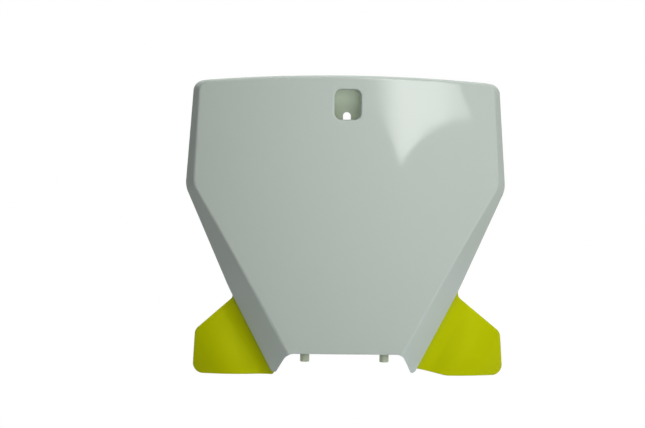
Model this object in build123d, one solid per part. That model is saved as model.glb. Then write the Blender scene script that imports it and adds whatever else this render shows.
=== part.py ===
from build123d import *
import os
from math import cos, radians, sin, tan

# Front number plate of an off-road racing motorcycle, in millimetres.
# X runs to the viewer's right, Y runs back through the plate and Z runs up.
# The origin lies on the screw axis, in the rear face of the pocket floor, which seats on the motorcycle.

# Face and walls of the pale shell
FACE_RADIUS = 800.0        # bow of the face about a vertical axis
FACE_AHEAD = 19.0          # middle of the face, ahead of the screw seat
WALL = 2.2                 # thickness of face, flanks and top
CREASE_RADIUS = 3.0        # rounding where the face turns into the flanks and the top
INNER_CREASE_RADIUS = 0.2  # least rounding of the same crease on the inside
RIM_RADIUS = 0.6           # rounding of the free rear edge
NOTCH_EDGE_RADIUS = 0.8    # rounding of the face's lower edge, along the notch

# Outline of the shell in front view, at the depth of the middle of the face
TOP_Z = 32.6               # top edge at its middle
TOP_RADIUS = 1360.0        # gentle arch of the top edge
TOP_DRAFT = 4.0            # the top wall rises this much towards the back, in degrees
TOP_HALF_WIDTH = 116.3     # from the middle to a side, at the height of the top edge
SHOULDER_HALF_WIDTH = 120.5
SHOULDER_Z = -56.7         # widest place, where the sides turn inwards
SOLE_HALF_WIDTH = 46.4     # from the middle to a flank, at the height of the lower edge
SOLE_Z = -197.8            # lower edge of the face
FLANK_FLARE = 32.0         # the flanks spread this much towards the back, in degrees
TOP_CORNER_RADIUS = 9.0
SHOULDER_RADIUS = 24.0

# Depth of the rear edge behind the middle of the face
TOP_DEPTH = 17.9
SHOULDER_DEPTH = 21.6
WING_DEPTH = 33.1          # along the wings the rear edge runs parallel to the face
WING_DEPTH_FROM_Z = -146.0
REAR_EDGE_BLEND = 120.0    # radius where the rear edge changes its slope

# Notch below the lower edge, between the two horns
NOTCH_HALF_WIDTH = 47.9    # at the lower edge, before rounding
NOTCH_SLANT = 27.5         # of the sides from upright, in degrees
NOTCH_RADIUS = 9.5
HORN_DROP = 17.8           # from the lower edge down to the tip of a horn, before rounding
HORN_RISE = 25.0           # the underside of a horn rises outwards this much, in degrees
HORN_TIP_RADIUS = 2.0

# Lower lip, its pegs and their gussets
LIP_DEPTH = 19.0
PEG_DIAMETER = 7.7
PEG_SPACING = 66.0
PEG_LENGTH = 7.0
PEG_SETBACK = 12.5         # axis of a peg, behind the middle of the face
PEG_TIP_RADIUS = 1.0
GUSSET_HEIGHT = 16.0
GUSSET_WALL = 1.8

# Screw pocket
POCKET_WIDTH = 22.0
POCKET_HEIGHT = 25.0
POCKET_CORNER = 5.6
POCKET_RISE = 8.7          # middle of the pocket, above the screw axis
POCKET_WALL = 2.0
POCKET_FLOOR = 3.0
POCKET_DRAFT = 1.5         # of the pocket's walls, in degrees
MOUTH_RADIUS = 1.5         # rounding of the pocket's mouth
POCKET_GUSSET_REACH = 14.0  # along the back of the face, from the pocket's side
POCKET_GUSSET_HEIGHT = 12.0  # along the pocket's side, from the back of the face
SLOT_WIDTH = 6.5           # for the shank of an M6 screw

# Wings
WING_WALL = 2.0
WING_EDGE_RADIUS = 0.6     # rounding of the wing's edges
WING_LAP = 9.0             # depth of the lap bonded to the inside of a flank
WING_BEND = 20.0           # radius of the bend from the lap into the blade
WING_SWEEP = 130.0         # radius in which the blade sweeps back
LEFT_WING_TOP_Z = -152.4   # where the left wing's upper edge leaves the flank
RIGHT_WING_TOP_Z = -148.9
LEFT_ROOT_RADIUS = 3.5     # concave rounding at that place
RIGHT_ROOT_RADIUS = 7.0
WING_ROOT_COVER = 0.5      # the flank's rear edge covers the root of the wing by this much
WING_ROOT_SPARE = 2.0      # covered stretch above that rounding
LEFT_SHOULDER_REACH = 125.2  # from the middle to the outer upper corner of the left wing
RIGHT_SHOULDER_REACH = 133.5
WING_SHOULDER_Z = -180.6
WING_SHOULDER_RADIUS = 8.0
LEFT_WING_REACH = 127.3    # from the middle to the outer lower corner of the left wing
RIGHT_WING_REACH = 137.0
WING_CORNER_RADIUS = 8.5
WING_BOTTOM_Z = -217.6
WING_TOE_RADIUS = 2.5      # rounding of the inner lower corner, behind the horn
WING_SETBACK = 0.8         # from the notch to the lap behind the horn
RELIEF_HALF_WIDTH = 87.5   # the right wing's lower edge rises inwards from here
RELIEF_RISE = 6.2          # height gained where the relief reaches the horn
RELIEF_END_HALF_WIDTH = 60.8
RELIEF_RADIUS = 25.0       # rounding where the rise begins

# Room that the cutting shapes run past the part
BEYOND = 12.0
FAR = 300.0
EDGE_START = 0.02          # the rounding of the lower edge starts this much ahead of the face

# Angles from a direction within which faces and edges are picked, in degrees
REARWARD = 25.0
FORWARD = 72.0
LENGTHWISE = 53.0
PARALLEL = 2.5

FLARE = radians(FLANK_FLARE)
HORN_Z = SOLE_Z - HORN_DROP
SIDE_PLANE = Plane(origin=(0, -FACE_AHEAD, 0), x_dir=(0, 1, 0), z_dir=(1, 0, 0))


def front_plane(depth):
    """Plane of the front view, at a depth behind the middle of the face."""
    return Plane.XZ.offset(FACE_AHEAD - depth)


def through(sketch, start=-BEYOND, end=FAR):
    """Front-view sketch drawn back through the part, from one depth to another."""
    return extrude(front_plane(start) * sketch, amount=end - start, dir=(0, 1, 0))


def facing(shape, way, angle):
    """Faces that look back (way 1) or forwards (way -1), within an angle of that direction."""
    return shape.faces().filter_by(lambda face: way * face.normal_at(face.center()).Y > cos(radians(angle)))


def rounded(sketch, corner, radius):
    """Sketch with its corner nearest to a point rounded."""
    vertex = sketch.vertices().sort_by_distance((corner[0], corner[1], 0))[0]
    return fillet(vertex, radius)


def mirrored(points):
    """Half outline from the right, continued by its mirror image on the left."""
    return points + [(-x, z) for x, z in reversed(points)]


def face_outline(outwards):
    """Straight-sided outline of the flanks, with each side moved outwards."""
    slope = (SHOULDER_HALF_WIDTH - SOLE_HALF_WIDTH) / (SHOULDER_Z - SOLE_Z)
    base_z = HORN_Z - 2 * BEYOND
    base_half_width = SOLE_HALF_WIDTH + slope * (base_z - SOLE_Z)
    lean = (SHOULDER_HALF_WIDTH - TOP_HALF_WIDTH) / (TOP_Z - SHOULDER_Z)
    roof_z = TOP_Z + 4 * BEYOND
    roof_half_width = TOP_HALF_WIDTH - lean * (roof_z - TOP_Z)
    half = [(roof_half_width, roof_z), (SHOULDER_HALF_WIDTH, SHOULDER_Z), (base_half_width, base_z)]
    return offset(Polygon(*mirrored(half), align=None), amount=outwards, kind=Kind.INTERSECTION)


def plate_form(inset):
    """Bowed, flared block of the plate, with its face, flanks and top moved inwards by an inset."""
    depths = (-BEYOND, WING_DEPTH + BEYOND)
    spread = [depth * tan(FLARE) - inset / cos(FLARE) for depth in depths]
    outlines = [front_plane(depth) * face_outline(out) for depth, out in zip(depths, spread)]
    block = loft(outlines, ruled=True)
    bow = Pos(0, FACE_RADIUS - FACE_AHEAD, 0) * Cylinder(FACE_RADIUS - inset, 3 * FAR)
    arch = Pos(0, 0, -TOP_RADIUS) * Rot(X=90) * Cylinder(TOP_RADIUS - inset, 3 * FAR)
    form = block & bow & (Pos(0, -FACE_AHEAD, TOP_Z) * Rot(X=TOP_DRAFT) * arch)

    def running_back(edge):
        return abs((edge % 0.5).Y) > cos(radians(LENGTHWISE)) and edge.center().Z > SOLE_Z

    corners = form.edges().filter_by(running_back).group_by(Axis.Z)
    form = fillet(corners[-1], TOP_CORNER_RADIUS - inset)
    corners = form.edges().filter_by(running_back).group_by(Axis.Z)
    form = fillet(corners[0], SHOULDER_RADIUS - inset)
    face = form.faces().sort_by(Axis.Y)[0]
    creases = face.edges().sort_by(Axis.Z)[1:]
    return fillet(creases, max(CREASE_RADIUS - inset, INNER_CREASE_RADIUS))


def rear_space():
    """Space behind the rear edge of the shell, seen from the side."""
    slope = (SHOULDER_DEPTH - TOP_DEPTH) / (TOP_Z - SHOULDER_Z)
    roof = (TOP_DEPTH - slope * BEYOND, TOP_Z + BEYOND)
    profile = FilletPolyline(
        roof,
        (SHOULDER_DEPTH, SHOULDER_Z),
        (WING_DEPTH, WING_DEPTH_FROM_Z),
        (WING_DEPTH, -FAR),
        radius=REAR_EDGE_BLEND,
    )
    back = Polyline((WING_DEPTH, -FAR), (FAR, -FAR), (FAR, TOP_Z + BEYOND), roof)
    return extrude(SIDE_PLANE * make_face(profile + back), amount=FAR, both=True)


def notch_sketch():
    """Notch between the horns in front view, open downwards."""
    foot_half_width = NOTCH_HALF_WIDTH + (FAR + SOLE_Z) * tan(radians(NOTCH_SLANT))
    notch = Polygon(*mirrored([(NOTCH_HALF_WIDTH, SOLE_Z), (foot_half_width, -FAR)]), align=None)
    return fillet(notch.vertices().group_by(Axis.Y)[-1], NOTCH_RADIUS)


def below_sketch():
    """Everything below the shell in front view: the notch, and the space under the horns."""
    tip_half_width = NOTCH_HALF_WIDTH + HORN_DROP * tan(radians(NOTCH_SLANT))
    side_z = HORN_Z + (FAR - tip_half_width) * tan(radians(HORN_RISE))
    half = [(NOTCH_HALF_WIDTH, SOLE_Z), (tip_half_width, HORN_Z), (FAR, side_z), (FAR, -FAR)]
    below = Polygon(*mirrored(half), align=None)
    for x in (-tip_half_width, tip_half_width):
        below = rounded(below, (x, HORN_Z), HORN_TIP_RADIUS)
    for x in (-NOTCH_HALF_WIDTH, NOTCH_HALF_WIDTH):
        below = rounded(below, (x, SOLE_Z), NOTCH_RADIUS)
    return below


def lower_lip(inner):
    """Block for the lip that the notch leaves along its edge, and a gusset behind the face at each peg."""
    lip = inner & through(offset(notch_sketch(), amount=WALL), end=LIP_DEPTH)
    foot_z = SOLE_Z + WALL / 2
    web = Polygon((0, foot_z), (LIP_DEPTH, foot_z), (0, SOLE_Z + GUSSET_HEIGHT), align=None)
    gusset = extrude(SIDE_PLANE * web, amount=GUSSET_WALL / 2, both=True)
    for x in (-PEG_SPACING / 2, PEG_SPACING / 2):
        lip += inner & Pos(x, 0, 0) * gusset
    return lip


def notched_panel():
    """Thick bowed panel that reaches past the shell, with the notch in it and its front edge rounded."""
    bow = Pos(0, FACE_RADIUS - FACE_AHEAD, 0) * Cylinder(FACE_RADIUS + EDGE_START, 3 * FAR)
    panel = (bow & Box(2 * FAR, FAR, 3 * FAR)) - through(below_sketch())
    face = panel.faces().sort_by(Axis.Y)[0]
    notch_edges = face.edges().filter_by(lambda edge: edge.center().Z < SOLE_Z + WALL)
    return fillet(notch_edges, NOTCH_EDGE_RADIUS)


def pegs():
    """Two locating pegs that stand down from the lip."""
    root_z = SOLE_Z + WALL / 2
    peg = extrude(Circle(PEG_DIAMETER / 2), amount=-(PEG_LENGTH + WALL / 2))
    peg = fillet(peg.edges().group_by(Axis.Z)[0], PEG_TIP_RADIUS)
    places = [Pos(x, PEG_SETBACK - FACE_AHEAD, root_z) for x in (-PEG_SPACING / 2, PEG_SPACING / 2)]
    return [place * peg for place in places]


def pocket_block(grow, start, end):
    """Drafted block of the pocket between two depths, grown on all sides."""
    ends = []
    for depth in (start, end):
        taper = 2 * (grow - depth * tan(radians(POCKET_DRAFT)))
        section = RectangleRounded(POCKET_WIDTH + taper, POCKET_HEIGHT + taper, POCKET_CORNER + taper / 2)
        ends.append(front_plane(depth) * Pos(0, POCKET_RISE) * section)
    return loft(ends, ruled=True)


def pocket_gussets(inner):
    """Webs that brace the pocket's two sides against the back of the face."""
    foot = POCKET_WIDTH / 2 + POCKET_GUSSET_REACH
    head = POCKET_WIDTH / 2
    head_depth = WALL + POCKET_GUSSET_HEIGHT
    web = Polygon((-foot, 0), (foot, 0), (head, head_depth), (-head, head_depth), align=None)
    plane = Plane(origin=(0, -FACE_AHEAD, POCKET_RISE))
    return inner & extrude(plane * web, amount=GUSSET_WALL / 2, both=True)


def slot():
    """Slot for the screw through the pocket floor, round at the top and open downwards."""
    length = POCKET_HEIGHT / 2 - POCKET_RISE + POCKET_WALL + BEYOND
    sketch = Circle(SLOT_WIDTH / 2) + Pos(0, -length / 2) * Rectangle(SLOT_WIDTH, length)
    return through(sketch, start=FACE_AHEAD - POCKET_FLOOR, end=FACE_AHEAD + BEYOND)


def number_plate():
    """Pale shell with its pocket, lip and pegs, moulded as one piece."""
    inner = plate_form(WALL / 2)
    shell = plate_form(0) - plate_form(WALL) - rear_space()
    rear_strips = facing(shell, 1, REARWARD).sort_by(SortBy.AREA)[:-1]
    rim = [edge for strip in rear_strips for edge in strip.edges() if edge.length > 2 * WALL]
    shell = fillet(rim, RIM_RADIUS)

    shell += lower_lip(inner)
    shell &= notched_panel()
    shell += pegs()
    shell += pocket_gussets(inner)
    shell += pocket_block(POCKET_WALL, WALL / 2, FACE_AHEAD)
    shell -= pocket_block(0, -BEYOND, FACE_AHEAD - POCKET_FLOOR)
    face = shell.faces().sort_by(Axis.Y)[0]
    shell = fillet(face.inner_wires()[0].edges(), MOUTH_RADIUS)
    return shell - slot()


def flank_plane():
    """Plane across the right lower flank: its x runs outwards in front view and its y runs back."""
    line = Vector(SOLE_HALF_WIDTH - SHOULDER_HALF_WIDTH, 0, SOLE_Z - SHOULDER_Z).normalized()
    outwards = Vector(-line.Z, 0, line.X)
    origin = Vector(SHOULDER_HALF_WIDTH, -FACE_AHEAD, SHOULDER_Z)
    return Plane(origin=origin, x_dir=outwards, z_dir=-line)


def sheet_line(shift):
    """Front line of the wing's section, or a line parallel to it further back by a shift."""
    back = shift * sin(FLARE)
    turn = 90 - FLANK_FLARE

    def on_flank(depth):
        return (depth * tan(FLARE) - (WALL + shift) / cos(FLARE), depth)

    lap = Line(on_flank(WING_DEPTH - WING_LAP + back), on_flank(WING_DEPTH + back))
    bend = JernArc(lap @ 1, lap % 1, WING_BEND + shift, -turn)
    blade = JernArc(bend @ 1, bend % 1, WING_SWEEP - shift, turn)
    return lap + bend + blade


def wing(top_z, root_radius, shoulder_reach, reach, relief):
    """Wing as a right one: a bent sheet that laps behind the flank, cut to its outline in front view."""
    front = sheet_line(0)
    rear = sheet_line(WING_WALL)
    section = make_face(front + rear + Line(front @ 0, rear @ 0) + Line(front @ 1, rear @ 1))
    plane = flank_plane()
    outwards = plane.x_dir
    line = -plane.z_dir
    sheet = extrude(plane * section, amount=FAR, dir=line)

    rear_edge = plane.origin + outwards * (WING_DEPTH * tan(FLARE) - WING_ROOT_COVER)
    root = rear_edge + line * ((top_z - rear_edge.Z) / line.Z)
    cover = root - line * (root_radius + WING_ROOT_SPARE)
    inner = cover - outwards * (WING_LAP + WALL + BEYOND)
    outline = [
        (inner.X, inner.Z),
        (cover.X, cover.Z),
        (root.X, root.Z),
        (shoulder_reach, WING_SHOULDER_Z),
        (reach, WING_BOTTOM_Z),
    ]
    middle_z = WING_BOTTOM_Z
    if relief:
        middle_z += RELIEF_RISE * RELIEF_HALF_WIDTH / (RELIEF_HALF_WIDTH - RELIEF_END_HALF_WIDTH)
        outline += [(RELIEF_HALF_WIDTH, WING_BOTTOM_Z)]
    outline += [(0, middle_z)]
    sketch = Polygon(*outline, align=None) - offset(notch_sketch(), amount=WING_SETBACK)
    toe_z = WING_BOTTOM_Z + (RELIEF_RISE if relief else 0)
    toe = (NOTCH_HALF_WIDTH + (SOLE_Z - toe_z) * tan(radians(NOTCH_SLANT)), toe_z)

    sketch = rounded(sketch, outline[2], root_radius)
    sketch = rounded(sketch, outline[3], WING_SHOULDER_RADIUS)
    sketch = rounded(sketch, outline[4], WING_CORNER_RADIUS)
    if relief:
        sketch = rounded(sketch, outline[5], RELIEF_RADIUS)
    sketch = rounded(sketch, toe, WING_TOE_RADIUS)
    blade = sheet & through(sketch)
    shown = facing(blade, -1, FORWARD).sort_by(SortBy.AREA)[-2:]
    free = [edge for face in shown for edge in face.edges()]
    free = [edge for edge in free if abs((edge % 0.5).dot(line)) < cos(radians(PARALLEL))]
    free = [edge for edge in free if (edge.center() - rear_edge).dot(outwards) > WING_ROOT_COVER]
    return fillet(free, WING_EDGE_RADIUS)


left_as_right = wing(LEFT_WING_TOP_Z, LEFT_ROOT_RADIUS, LEFT_SHOULDER_REACH, LEFT_WING_REACH, relief=False)
parts = {
    "number_plate": number_plate(),
    "left_wing": mirror(left_as_right, about=Plane.YZ),
    "right_wing": wing(
        RIGHT_WING_TOP_Z, RIGHT_ROOT_RADIUS, RIGHT_SHOULDER_REACH, RIGHT_WING_REACH, relief=True
    ),
}

os.makedirs("parts", exist_ok=True)
for name, shape in parts.items():
    export_step(shape, f"parts/{name}.step")
    box = shape.bounding_box()
    print(name, "volume", round(shape.volume), "low", box.min, "high", box.max)
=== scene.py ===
from math import pi, radians, sin

import bpy
from mathutils import Matrix, Vector


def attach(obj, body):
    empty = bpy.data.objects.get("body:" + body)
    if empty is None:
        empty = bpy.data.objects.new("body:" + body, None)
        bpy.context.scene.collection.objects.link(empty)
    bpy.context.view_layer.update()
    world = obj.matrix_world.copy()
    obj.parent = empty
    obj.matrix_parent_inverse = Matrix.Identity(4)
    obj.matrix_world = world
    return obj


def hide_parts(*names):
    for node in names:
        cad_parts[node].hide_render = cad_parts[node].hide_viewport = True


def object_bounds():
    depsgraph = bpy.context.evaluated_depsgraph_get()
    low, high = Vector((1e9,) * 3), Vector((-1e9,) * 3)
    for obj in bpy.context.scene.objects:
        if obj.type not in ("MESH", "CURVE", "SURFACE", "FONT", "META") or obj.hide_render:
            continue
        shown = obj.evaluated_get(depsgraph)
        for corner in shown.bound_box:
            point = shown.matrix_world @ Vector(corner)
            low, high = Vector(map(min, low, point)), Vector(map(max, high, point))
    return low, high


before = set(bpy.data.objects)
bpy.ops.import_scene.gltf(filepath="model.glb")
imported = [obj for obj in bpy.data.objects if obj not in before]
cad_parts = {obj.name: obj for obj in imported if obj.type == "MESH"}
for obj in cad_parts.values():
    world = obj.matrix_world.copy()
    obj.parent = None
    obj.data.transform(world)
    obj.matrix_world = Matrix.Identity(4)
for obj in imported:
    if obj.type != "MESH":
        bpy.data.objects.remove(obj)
cad_low, cad_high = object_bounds()


# The shell is one thin moulding in pale polypropylene. Its mould is polished on the face side.
# The flanks keep a satin skin, and their colour has painted light that makes them paler towards the
# sole.
# The pocket and the pegs have a painted greenish shade in their colour. The pocket's floor is painted
# darker, most at its foot, and its walls are painted lighter. Light also soaks into the pocket's wall.
PLASTIC_IOR = 1.49
SKIN_SCALE = 160.0
SKIN_DETAIL = 2.0
SKIN_DEPTH = 0.0002
SHELL_SKIN = 0.02
CLOUD_SCALE = 14.0
CLOUD_DETAIL = 2.0
POLISH_SCALE = 60.0
POLISH_DETAIL = 4.0
POLISH_LIMITS = (0.3, 0.7)

FACE_DARK = (0.402, 0.452, 0.414)
FACE_LIGHT = (0.412, 0.462, 0.424)
FACE_GLOSS = (0.05, 0.07)
FACE_SHEEN = 0.5
WHITE_SHEEN = (1.0, 1.0, 1.0)
FORWARDS = (0.0, -1.0, 0.0)
FACING_FRONT = (0.75, 0.93)
SATIN_ROUGHNESS = 0.36
SATIN_SHEEN = 0.15
# Painted light: the flanks' colour turns paler towards the sole.
SOLE_PAINTED_LIGHT_TONE = (0.475, 0.540, 0.520)
SOLE_PAINTED_LIGHT_FROM_Z = (-0.100, -0.175)

# Painted shade and light in the pocket: a greenish floor painted darker towards its foot, and walls
# painted lighter.
POCKET_WALL_PAINTED_LIGHT = (0.620, 0.690, 0.580)
POCKET_HEAD_PAINTED_SHADE = (0.355, 0.405, 0.325)
POCKET_FOOT_PAINTED_SHADE = (0.235, 0.277, 0.208)
POCKET_SHADE_FADE_Z = (0.002, 0.018)
POCKET_FROM_Y = (-0.0135, -0.0095)
POCKET_MIDDLE = (0.0, 0.0, 0.0087)
POCKET_SPREAD = (0.0228, 0.0205)
POCKET_MOUTH = (0.0, -0.0135, 0.0087)
POCKET_INSIDE = (0.0, -0.002)
POCKET_SOAK = 0.011
EVEN_SOAK = (1.0, 1.0, 1.0)
# Painted shade: the pegs get a greenish shaded tone of the shell's plastic.
PEG_PAINTED_SHADE_TONE = (0.425, 0.475, 0.350)
PEGS_FROM_Z = (-0.1980, -0.1990)
PEGS_WITHIN_X = (0.0445, 0.0435)


def new_plastic(name, sheen, sheen_colour):
    material = bpy.data.materials.new(name)
    material.use_nodes = True
    plastic = material.node_tree.nodes["Principled BSDF"]
    plastic.inputs["IOR"].default_value = PLASTIC_IOR
    plastic.inputs["Specular IOR Level"].default_value = sheen
    plastic.inputs["Specular Tint"].default_value = (*sheen_colour, 1.0)
    return material, material.node_tree.nodes, material.node_tree.links, plastic


def noise(nodes, links, coordinates, scale, detail):
    texture = nodes.new("ShaderNodeTexNoise")
    texture.inputs["Scale"].default_value = scale
    texture.inputs["Detail"].default_value = detail
    links.new(coordinates.outputs["Object"], texture.inputs["Vector"])
    return texture.outputs["Fac"]


def ramp(nodes, links, value, start, end, low=0.0, high=1.0):
    spread = nodes.new("ShaderNodeMapRange")
    spread.interpolation_type = "SMOOTHSTEP"
    spread.inputs["From Min"].default_value = start
    spread.inputs["From Max"].default_value = end
    spread.inputs["To Min"].default_value = low
    spread.inputs["To Max"].default_value = high
    links.new(value, spread.inputs["Value"])
    return spread.outputs["Result"]


def combine(nodes, links, operation, first, second):
    maths = nodes.new("ShaderNodeMath")
    maths.operation = operation
    links.new(first, maths.inputs[0])
    links.new(second, maths.inputs[1])
    return maths.outputs["Value"]


def measure(nodes, links, operation, first, second):
    maths = nodes.new("ShaderNodeVectorMath")
    maths.operation = operation
    links.new(first, maths.inputs[0])
    if isinstance(second, tuple):
        maths.inputs[1].default_value = second
    else:
        links.new(second, maths.inputs[1])
    return maths


def tint(nodes, links, factor, first, second):
    mix = nodes.new("ShaderNodeMix")
    mix.data_type = "RGBA"
    for socket, colour in (("A", first), ("B", second)):
        if isinstance(colour, tuple):
            mix.inputs[socket].default_value = (*colour, 1.0)
        else:
            links.new(colour, mix.inputs[socket])
    links.new(factor, mix.inputs["Factor"])
    return mix.outputs["Result"]


def moulded_skin(nodes, links, coordinates, plastic, strength):
    bump = nodes.new("ShaderNodeBump")
    bump.inputs["Strength"].default_value = strength
    bump.inputs["Distance"].default_value = SKIN_DEPTH
    links.new(noise(nodes, links, coordinates, SKIN_SCALE, SKIN_DETAIL), bump.inputs["Height"])
    links.new(bump.outputs["Normal"], plastic.inputs["Normal"])


shell_plastic, nodes, links, plastic = new_plastic("pale_shell", FACE_SHEEN, WHITE_SHEEN)
coordinates = nodes.new("ShaderNodeTexCoord")
spot = coordinates.outputs["Object"]
normal = coordinates.outputs["Normal"]
place = nodes.new("ShaderNodeSeparateXYZ")
links.new(spot, place.inputs["Vector"])

# The inside of the pocket lies behind the face and near the pocket's middle, and it faces the mouth.
behind = ramp(nodes, links, place.outputs["Y"], *POCKET_FROM_Y)
from_middle = measure(nodes, links, "DISTANCE", spot, POCKET_MIDDLE)
near_pocket = ramp(nodes, links, from_middle.outputs["Value"], *POCKET_SPREAD)
from_mouth = measure(nodes, links, "SUBTRACT", spot, POCKET_MOUTH)
turned_out = measure(nodes, links, "DOT_PRODUCT", from_mouth.outputs["Vector"], normal)
inside = ramp(nodes, links, turned_out.outputs["Value"], *POCKET_INSIDE)
recessed = combine(nodes, links, "MULTIPLY", behind, inside)
pocket = combine(nodes, links, "MULTIPLY", recessed, near_pocket)

# The pegs hang below the lip, between the horns.
below = ramp(nodes, links, place.outputs["Z"], *PEGS_FROM_Z)
sideways = nodes.new("ShaderNodeMath")
sideways.operation = "ABSOLUTE"
links.new(place.outputs["X"], sideways.inputs[0])
between = ramp(nodes, links, sideways.outputs["Value"], *PEGS_WITHIN_X)
pegs = combine(nodes, links, "MULTIPLY", below, between)

# The flanks are turned away from the front.
facing = measure(nodes, links, "DOT_PRODUCT", normal, FORWARDS)
turned = ramp(nodes, links, facing.outputs["Value"], *FACING_FRONT, low=1.0, high=0.0)
# Painted light: the flanks are painted paler towards the sole.
low_down = ramp(nodes, links, place.outputs["Z"], *SOLE_PAINTED_LIGHT_FROM_Z)
pale = combine(nodes, links, "MULTIPLY", turned, low_down)

cloud = noise(nodes, links, coordinates, CLOUD_SCALE, CLOUD_DETAIL)
face_tone = tint(nodes, links, cloud, FACE_DARK, FACE_LIGHT)
flank_tone_with_painted_light = tint(nodes, links, pale, face_tone, SOLE_PAINTED_LIGHT_TONE)
# Painted shade in the pocket: its floor is painted darker and greenish, darkest at its foot, and its
# walls are painted lighter.
upper = ramp(nodes, links, place.outputs["Z"], *POCKET_SHADE_FADE_Z)
pocket_floor_painted_shade = tint(nodes, links, upper, POCKET_FOOT_PAINTED_SHADE, POCKET_HEAD_PAINTED_SHADE)
pocket_painted_shade_and_light = tint(nodes, links, turned, pocket_floor_painted_shade, POCKET_WALL_PAINTED_LIGHT)
tone_with_pocket_shade = tint(nodes, links, pocket, flank_tone_with_painted_light, pocket_painted_shade_and_light)
# Painted shade: the pegs are painted a greenish shaded tone.
links.new(tint(nodes, links, pegs, tone_with_pocket_shade, PEG_PAINTED_SHADE_TONE), plastic.inputs["Base Color"])
links.new(pocket, plastic.inputs["Subsurface Weight"])
plastic.inputs["Subsurface Radius"].default_value = EVEN_SOAK
plastic.inputs["Subsurface Scale"].default_value = POCKET_SOAK

pocket_and_pegs = combine(nodes, links, "MAXIMUM", pocket, pegs)
satin = combine(nodes, links, "MAXIMUM", turned, pocket_and_pegs)
sheen = ramp(nodes, links, satin, 0.0, 1.0, FACE_SHEEN, SATIN_SHEEN)
links.new(sheen, plastic.inputs["Specular IOR Level"])
polish = noise(nodes, links, coordinates, POLISH_SCALE, POLISH_DETAIL)
gloss = ramp(nodes, links, polish, *POLISH_LIMITS, *FACE_GLOSS)
rougher = nodes.new("ShaderNodeMapRange")
rougher.inputs["To Max"].default_value = SATIN_ROUGHNESS
links.new(gloss, rougher.inputs["To Min"])
links.new(satin, rougher.inputs["Value"])
links.new(rougher.outputs["Result"], plastic.inputs["Roughness"])
moulded_skin(nodes, links, coordinates, plastic, SHELL_SKIN)

shell_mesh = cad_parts["number_plate"].data
shell_mesh.materials.clear()
shell_mesh.materials.append(shell_plastic)


# The two wings are bent sheets in fluorescent yellow plastic, bonded to the inside of the flanks.
# Each keeps its outline, and its blade curls over a soft ridge between the bend and the free edge.
# They have a softer gloss than the face.
WING_DARK = (0.395, 0.440, 0.001)
WING_LIGHT = (0.410, 0.455, 0.001)
WING_GLOSS = (0.36, 0.44)
WING_SHEEN = 0.25
YELLOW_SHEEN = (1.0, 1.0, 0.05)
WING_SKIN = 0.04

FLANK_SHOULDER = Vector((0.1205, 0.0, -0.0567))
FLANK_FOOT = Vector((0.0464, 0.0, -0.1978))
REAR_EDGE_OUT = 0.0207
RIDGE_START = 0.005
RIDGE_HEIGHT = 0.0075
RIDGE_LEAN = 0.7
RIDGE_TOP_Z = -0.147
RIDGE_FULL_Z = -0.205
LEFT_RIDGE_WIDTH = 0.075
RIGHT_RIDGE_WIDTH = 0.084
STRIP_WIDTH = 0.0015
STRIP_LENGTH = 0.003
SAME_POINT = 1e-6
SHARP_ANGLE = 30

wing_plastic, nodes, links, plastic = new_plastic("yellow_wing", WING_SHEEN, YELLOW_SHEEN)
coordinates = nodes.new("ShaderNodeTexCoord")
cloud = noise(nodes, links, coordinates, CLOUD_SCALE, CLOUD_DETAIL)
links.new(tint(nodes, links, cloud, WING_DARK, WING_LIGHT), plastic.inputs["Base Color"])
polish = noise(nodes, links, coordinates, POLISH_SCALE, POLISH_DETAIL)
links.new(ramp(nodes, links, polish, *POLISH_LIMITS, *WING_GLOSS), plastic.inputs["Roughness"])
moulded_skin(nodes, links, coordinates, plastic, WING_SKIN)

flank_line = (FLANK_FOOT - FLANK_SHOULDER).normalized()
flank_outwards = Vector((-flank_line.z, 0.0, flank_line.x))


def share_of(length, whole):
    return min(max(length / whole, 0.0), 1.0)


def ridged_wing(node, side, width):
    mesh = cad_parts[node].data.copy()
    sheet = bpy.data.objects.new(node + "_sheet", mesh)
    bpy.context.scene.collection.objects.link(sheet)
    bpy.ops.object.select_all(action="DESELECT")
    sheet.select_set(True)
    bpy.context.view_layer.objects.active = sheet
    bpy.ops.mesh.customdata_custom_splitnormals_clear()
    across = Vector((side * flank_outwards.x, 0.0, flank_outwards.z))
    shoulder = Vector((side * FLANK_SHOULDER.x, 0.0, FLANK_SHOULDER.z))
    start = shoulder + across * (REAR_EDGE_OUT + RIDGE_START)
    bpy.ops.object.mode_set(mode="EDIT")
    bpy.ops.mesh.select_all(action="SELECT")
    bpy.ops.mesh.remove_doubles(threshold=SAME_POINT)
    for step in range(round(width / STRIP_WIDTH)):
        bpy.ops.mesh.select_all(action="SELECT")
        bpy.ops.mesh.bisect(plane_co=start + across * step * STRIP_WIDTH, plane_no=across)
    for step in range(round((RIDGE_TOP_Z - cad_low.z) / STRIP_LENGTH)):
        bpy.ops.mesh.select_all(action="SELECT")
        bpy.ops.mesh.bisect(plane_co=(0, 0, RIDGE_TOP_Z - step * STRIP_LENGTH), plane_no=(0, 0, 1))
    bpy.ops.object.mode_set(mode="OBJECT")
    for vertex in mesh.vertices:
        out = share_of((vertex.co - start).dot(across), width)
        grown = share_of(RIDGE_TOP_Z - vertex.co.z, RIDGE_TOP_Z - RIDGE_FULL_Z)
        vertex.co.y -= RIDGE_HEIGHT * grown * sin(pi * out ** RIDGE_LEAN) ** 2
    bpy.ops.object.shade_smooth_by_angle(angle=radians(SHARP_ANGLE))
    mesh.materials.clear()
    mesh.materials.append(wing_plastic)
    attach(sheet, "root")
    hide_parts(node)


ridged_wing("left_wing", -1, LEFT_RIDGE_WIDTH)
ridged_wing("right_wing", 1, RIGHT_RIDGE_WIDTH)


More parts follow.
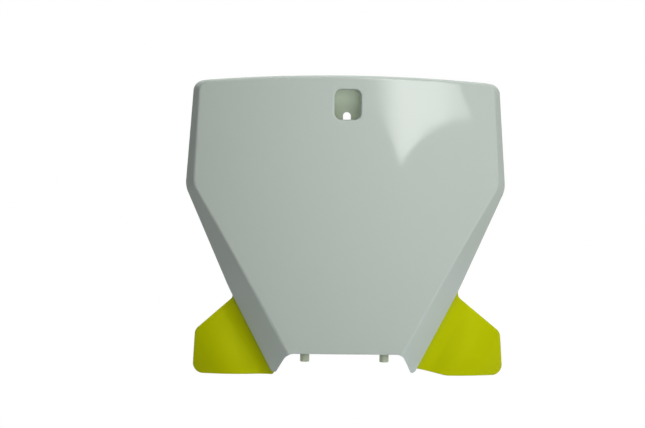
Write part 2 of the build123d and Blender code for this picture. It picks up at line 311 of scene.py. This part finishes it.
# A plain white floor lies below the board, which hangs free above it.
# It is white to the camera and still takes the board's soft shadow.
FLOOR_DROP = 0.60
FLOOR_SIZE = 8.0
FLOOR_TONE = (0.8, 0.8, 0.8, 1.0)
FLOOR_WHITE = 0.94
FLOOR_GLOW = 1.06


def seen_directly(nodes, links):
    path = nodes.new("ShaderNodeLightPath")
    seen = path.outputs["Is Camera Ray"]
    for ray in ("Is Glossy Ray", "Is Transmission Ray"):
        seen = combine(nodes, links, "MAXIMUM", seen, path.outputs[ray])
    return seen


bpy.ops.object.select_all(action="DESELECT")
bpy.ops.mesh.primitive_plane_add(size=FLOOR_SIZE, location=(0, 0, cad_low.z - FLOOR_DROP))
floor = bpy.context.object
floor.name = "floor"
paper = bpy.data.materials.new("white_floor")
paper.use_nodes = True
nodes = paper.node_tree.nodes
links = paper.node_tree.links
nodes.remove(nodes["Principled BSDF"])
dull = nodes.new("ShaderNodeBsdfDiffuse")
dull.inputs["Color"].default_value = FLOOR_TONE
glow = nodes.new("ShaderNodeEmission")
glow.inputs["Strength"].default_value = FLOOR_GLOW
white_share = nodes.new("ShaderNodeMath")
white_share.operation = "MULTIPLY"
white_share.inputs[1].default_value = FLOOR_WHITE
links.new(seen_directly(nodes, links), white_share.inputs[0])
blend = nodes.new("ShaderNodeMixShader")
links.new(white_share.outputs["Value"], blend.inputs["Fac"])
links.new(dull.outputs["BSDF"], blend.inputs[1])
links.new(glow.outputs["Emission"], blend.inputs[2])
links.new(blend.outputs["Shader"], nodes["Material Output"].inputs["Surface"])
floor.data.materials.append(paper)


# The room round the board is an even white that gives only a weak fill light.
# The camera and the gloss of the face see it as full white.
ROOM_COLOUR = (1.0, 1.0, 1.0, 1.0)
ROOM_LIGHT = 0.05
ROOM_WHITE = 1.0

world = bpy.data.worlds.new("room")
bpy.context.scene.world = world
world.use_nodes = True
nodes = world.node_tree.nodes
links = world.node_tree.links
level = nodes.new("ShaderNodeMapRange")
level.inputs["To Min"].default_value = ROOM_LIGHT
level.inputs["To Max"].default_value = ROOM_WHITE
links.new(seen_directly(nodes, links), level.inputs["Value"])
links.new(level.outputs["Result"], nodes["Background"].inputs["Strength"])
nodes["Background"].inputs["Color"].default_value = ROOM_COLOUR


# A broad soft lamp stands in front of the board and a little to the viewer's right.
# Others light it from both sides, from above its top edge, from below and from behind.
# Each row gives a lamp's name, its place, its width and height, and its power in watts.
BOARD_MIDDLE = Vector((0.0, -0.02, -0.09))
LAMPS = (
    ("front_lamp", (0.11, -0.47, 0.05), (0.5, 0.7), 3.11),
    ("side_lamp", (0.66, -0.20, -0.25), (0.3, 0.5), 1.5),
    ("top_lamp", (0.0, 0.10, 0.60), (0.6, 0.3), 4.0),
    ("left_lamp", (-0.70, -0.05, -0.25), (0.3, 0.4), 0.26),
    ("low_lamp", (-0.10, -0.05, -0.55), (0.3, 0.2), 0.18),
    ("back_lamp", (-0.3, 1.1, 0.20), (0.8, 0.8), 10.0),
)

for name, place, size, power in LAMPS:
    lamp = bpy.data.lights.new(name, "AREA")
    lamp.shape = "RECTANGLE"
    lamp.size, lamp.size_y = size
    lamp.energy = power
    stand = bpy.data.objects.new(name, lamp)
    bpy.context.scene.collection.objects.link(stand)
    stand.location = place
    stand.rotation_euler = (BOARD_MIDDLE - Vector(place)).to_track_quat("-Z", "Y").to_euler()
    stand.visible_camera = False
    stand.visible_glossy = False


# A lamp window, seen only as the bright patch that the glossy face reflects at its upper right.
# It fades out towards the viewer's left and is weaker at the right.
# Each level gives a place between the start and the end of the fade, and the light there.
WINDOW_Y = -0.7
WINDOW_TOP = 0.45
WINDOW_LIGHT = 7.0
WINDOW_SLANT = 0.2
WINDOW_START = 0.099
WINDOW_END = 0.360
WINDOW_LEVELS = ((0.0, 0.14), (0.34, 1.0), (0.66, 0.95), (1.0, 0.60))
WINDOW_OUTLINE = (
    (WINDOW_START - WINDOW_SLANT * WINDOW_TOP, WINDOW_TOP),
    (0.090, 0.060),
    (0.125, 0.030),
    (0.150, 0.003),
    (0.171, -0.021),
    (0.203, -0.001),
    (0.238, 0.016),
    (0.271, 0.025),
    (0.308, 0.033),
    (0.369, 0.036),
    (0.327, 0.079),
    (0.327, WINDOW_TOP),
)

corners = [(x, WINDOW_Y, z) for x, z in WINDOW_OUTLINE]
mesh = bpy.data.meshes.new("lamp_window")
mesh.from_pydata(corners, [], [list(range(len(corners)))])
window = bpy.data.objects.new("lamp_window", mesh)
bpy.context.scene.collection.objects.link(window)
window.visible_camera = False
window.visible_diffuse = False
window.visible_transmission = False
window.visible_shadow = False
shine = bpy.data.materials.new("lamp_window")
shine.use_nodes = True
nodes = shine.node_tree.nodes
links = shine.node_tree.links
nodes.remove(nodes["Principled BSDF"])
coordinates = nodes.new("ShaderNodeTexCoord")
slanted = measure(nodes, links, "DOT_PRODUCT", coordinates.outputs["Object"], (1.0, 0.0, WINDOW_SLANT))
along = nodes.new("ShaderNodeMapRange")
along.inputs["From Min"].default_value = WINDOW_START
along.inputs["From Max"].default_value = WINDOW_END
links.new(slanted.outputs["Value"], along.inputs["Value"])
fade = nodes.new("ShaderNodeValToRGB")
fade.color_ramp.interpolation = "EASE"
stops = fade.color_ramp.elements
for position, light in WINDOW_LEVELS[1:-1]:
    stops.new(position)
for stop, (position, light) in zip(stops, WINDOW_LEVELS):
    stop.position = position
    stop.color = (light, light, light, 1.0)
links.new(along.outputs["Result"], fade.inputs["Fac"])
glow = nodes.new("ShaderNodeEmission")
glow.inputs["Strength"].default_value = WINDOW_LIGHT
links.new(fade.outputs["Color"], glow.inputs["Color"])
links.new(glow.outputs["Emission"], nodes["Material Output"].inputs["Surface"])
mesh.materials.append(shine)


# The camera stands level in front of the board and slightly to the viewer's left of it.
# It is rolled a little, because the board hangs a little askew in the picture.
# Its lens gives a pixel its size in millimetres at the front of the face.
SENSOR = 36.0
CAMERA_DISTANCE = 1.6
CAMERA_YAW = 2.0
CAMERA_ROLL = 0.65
LEVEL_VIEW = 90.0
MILLIMETRES_PER_PIXEL = 0.825
PICTURE_WIDTH = 645
CENTRE_OF_VIEW = (-0.0200, -0.019, -0.0820)

camera_data = bpy.data.cameras.new("camera")
camera_data.sensor_width = SENSOR
camera_data.lens = SENSOR * CAMERA_DISTANCE / (PICTURE_WIDTH * MILLIMETRES_PER_PIXEL / 1000)
camera = bpy.data.objects.new("camera", camera_data)
bpy.context.scene.collection.objects.link(camera)
turn = Matrix.Rotation(radians(-CAMERA_YAW), 4, "Z")
level_view = Matrix.Rotation(radians(LEVEL_VIEW), 4, "X")
lean = Matrix.Rotation(radians(CAMERA_ROLL), 4, "Z")
away = Matrix.Translation((0, 0, CAMERA_DISTANCE))
camera.matrix_world = Matrix.Translation(CENTRE_OF_VIEW) @ turn @ level_view @ lean @ away
bpy.context.scene.camera = camera
bpy.context.scene.view_settings.view_transform = "Standard"
